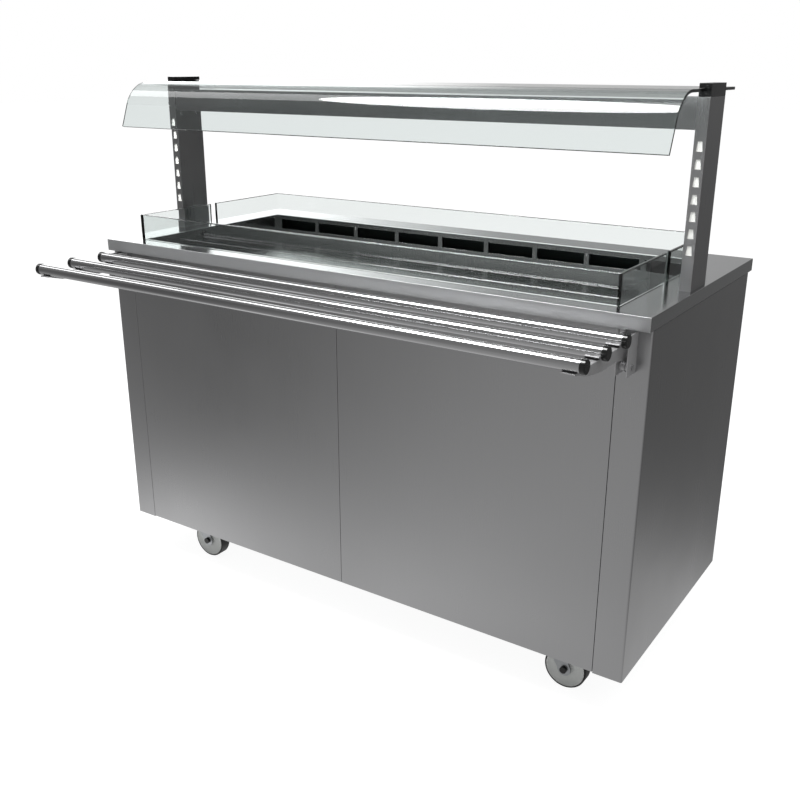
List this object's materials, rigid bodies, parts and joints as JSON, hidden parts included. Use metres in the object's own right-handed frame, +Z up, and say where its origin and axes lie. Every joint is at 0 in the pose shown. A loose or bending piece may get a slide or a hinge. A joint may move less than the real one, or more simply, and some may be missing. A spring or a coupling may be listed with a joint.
{
  "type": "mobile salad bar",
  "caption": "Refrigerated salad bar counter on castors with a long well, glass upstand, lit curved glass canopy on two posts and a fold-down tray slide.",
  "frame": {"origin": "on the floor, under the centre of the whole outline with the tray slide up", "axes": "+X along the front towards its right end, +Y from the customer side to the service side, +Z up"},
  "size_m": [1.47, 0.9244, 1.2995],
  "materials": {
    "stainless_top": "fine brushed stainless steel",
    "stainless_panel": "brushed stainless steel sheet",
    "stainless_post": "satin stainless steel",
    "tube_steel": "polished tube",
    "bright_steel": "bright",
    "zinc_steel": "zinc plated",
    "wheel_grey": "grey core with a dark tread",
    "pedal_red": "satin",
    "stainless_well": "brushed stainless steel inside the well",
    "clear_glass": "polished edges",
    "tinted_glass": "curved, polished edges",
    "black_plastic": "fine grain",
    "white_plastic": "satin",
    "lamp_white": "white coated tube",
    "coil_aluminium": "mill",
    "black_enamel": "gloss enamel",
    "copper": "drawn copper"
  },
  "bodies": {
    "cabinet": {"chassis_frame": "zinc_steel", "base_deck": "zinc_steel", "side_panel_left": "stainless_panel", "side_panel_right": "stainless_panel", "front_panel_left": "stainless_panel", "front_panel_right": "stainless_panel", "rear_posts": "stainless_panel", "rear_fascia": "stainless_panel", "louvred_panel": "stainless_panel", "control_panel": "stainless_panel", "bulkhead": "stainless_panel", "door_hinges": "stainless_panel", "worktop": "stainless_top", "well_tub": "stainless_well", "tub_ledges": "stainless_well", "well_floor": "stainless_well", "rear_air_duct": "stainless_well", "evaporator_coil": "coil_aluminium", "evaporator_fan_frame": "black_plastic", "drain_pipe": "white_plastic", "compressor": "black_enamel", "condenser_coil": "coil_aluminium", "condenser_fan_shroud": "black_plastic", "refrigerant_pipes": "copper", "controller": "black_plastic", "mains_inlet": "black_plastic", "gantry_post_left": "stainless_post", "gantry_post_right": "stainless_post", "post_liners": "white_plastic", "gantry_beam": "stainless_post", "lamp_tube": "lamp_white", "lamp_diffuser": "white_plastic", "post_caps": "black_plastic", "canopy_glass": "tinted_glass", "front_glass": "clear_glass", "rear_glass": "clear_glass", "tray_brackets": "stainless_post", "tray_pivot_bolts": "bright_steel", "castor_plates": "zinc_steel", "fixing_screws": "bright_steel"},
    "tray_slide": {"tray_arms": "stainless_post", "tray_tubes": "tube_steel", "tray_end_caps": "black_plastic", "tray_screws": "bright_steel"},
    "fork_front_left": {"castor_fork_front_left": "zinc_steel"},
    "fork_front_right": {"castor_fork_front_right": "zinc_steel"},
    "fork_rear_left": {"castor_fork_rear_left": "zinc_steel"},
    "fork_rear_right": {"castor_fork_rear_right": "zinc_steel"},
    "wheel_front_left": {"castor_wheel_front_left": "wheel_grey"},
    "wheel_front_right": {"castor_wheel_front_right": "wheel_grey"},
    "wheel_rear_left": {"castor_wheel_rear_left": "wheel_grey"},
    "wheel_rear_right": {"castor_wheel_rear_right": "wheel_grey"},
    "pedal_left": {"brake_pedal_left": "pedal_red"},
    "pedal_right": {"brake_pedal_right": "pedal_red"},
    "cupboard_door_left": {"door_left": "stainless_panel"},
    "cupboard_door_right": {"door_right": "stainless_panel"},
    "switch_cooling": {"rocker_cooling": "black_plastic"},
    "switch_lights": {"rocker_lights": "black_plastic"},
    "condenser_fan": {"condenser_fan_blades": "coil_aluminium"},
    "evaporator_fan": {"evaporator_fan_blades": "black_plastic"},
    "drain_valve_lever": {"drain_lever": "pedal_red"}
  },
  "joints": [
    {"name": "tray_fold", "type": "hinge", "parent": "cabinet", "child": "tray_slide", "pos_m": [0, -0.22375, 0.8025], "axis": [1, 0, 0], "range_deg": [0, 90]},
    {"name": "swivel_front_left", "type": "hinge", "parent": "cabinet", "child": "fork_front_left", "pos_m": [-0.5515, -0.12375, 0.128], "axis": [0, 0, 1], "continuous": true},
    {"name": "roll_front_left", "type": "hinge", "parent": "fork_front_left", "child": "wheel_front_left", "pos_m": [-0.522, -0.12375, 0.05], "axis": [0, 1, 0], "continuous": true},
    {"name": "swivel_rear_left", "type": "hinge", "parent": "cabinet", "child": "fork_rear_left", "pos_m": [-0.5515, 0.35325, 0.128], "axis": [0, 0, 1], "continuous": true},
    {"name": "roll_rear_left", "type": "hinge", "parent": "fork_rear_left", "child": "wheel_rear_left", "pos_m": [-0.522, 0.35325, 0.05], "axis": [0, 1, 0], "continuous": true},
    {"name": "brake_left", "type": "hinge", "parent": "fork_rear_left", "child": "pedal_left", "pos_m": [-0.522, 0.35325, 0.05], "axis": [0, 1, 0], "range_deg": [0, 22]},
    {"name": "swivel_front_right", "type": "hinge", "parent": "cabinet", "child": "fork_front_right", "pos_m": [0.5515, -0.12375, 0.128], "axis": [0, 0, 1], "continuous": true},
    {"name": "roll_front_right", "type": "hinge", "parent": "fork_front_right", "child": "wheel_front_right", "pos_m": [0.581, -0.12375, 0.05], "axis": [0, 1, 0], "continuous": true},
    {"name": "swivel_rear_right", "type": "hinge", "parent": "cabinet", "child": "fork_rear_right", "pos_m": [0.5515, 0.35325, 0.128], "axis": [0, 0, 1], "continuous": true},
    {"name": "roll_rear_right", "type": "hinge", "parent": "fork_rear_right", "child": "wheel_rear_right", "pos_m": [0.581, 0.35325, 0.05], "axis": [0, 1, 0], "continuous": true},
    {"name": "brake_right", "type": "hinge", "parent": "fork_rear_right", "child": "pedal_right", "pos_m": [0.581, 0.35325, 0.05], "axis": [0, 1, 0], "range_deg": [0, 22]},
    {"name": "door_swing_left", "type": "hinge", "parent": "cabinet", "child": "cupboard_door_left", "pos_m": [-0.1555, 0.43625, 0.1105], "axis": [0, 0, 1], "range_deg": [0, 110]},
    {"name": "door_swing_right", "type": "hinge", "parent": "cabinet", "child": "cupboard_door_right", "pos_m": [0.6945, 0.43625, 0.1105], "axis": [0, 0, -1], "range_deg": [0, 110]},
    {"name": "switch_tip_cooling", "type": "hinge", "parent": "cabinet", "child": "switch_cooling", "pos_m": [-0.504, 0.42725, 0.5825], "axis": [-1, 0, 0], "range_deg": [0, 16]},
    {"name": "switch_tip_lights", "type": "hinge", "parent": "cabinet", "child": "switch_lights", "pos_m": [-0.464, 0.42725, 0.5825], "axis": [-1, 0, 0], "range_deg": [0, 16]},
    {"name": "condenser_fan_spin", "type": "hinge", "parent": "cabinet", "child": "condenser_fan", "pos_m": [-0.4555, 0.29525, 0.30477], "axis": [0, 1, 0], "continuous": true},
    {"name": "evaporator_fan_spin", "type": "hinge", "parent": "cabinet", "child": "evaporator_fan", "pos_m": [0.084, 0.21125, 0.7195], "axis": [0, 1, 0], "continuous": true},
    {"name": "drain_lever_turn", "type": "hinge", "parent": "cabinet", "child": "drain_valve_lever", "pos_m": [-0.136, 0.30375, 0.578], "axis": [0, 1, 0], "range_deg": [0, 90]}
  ]
}
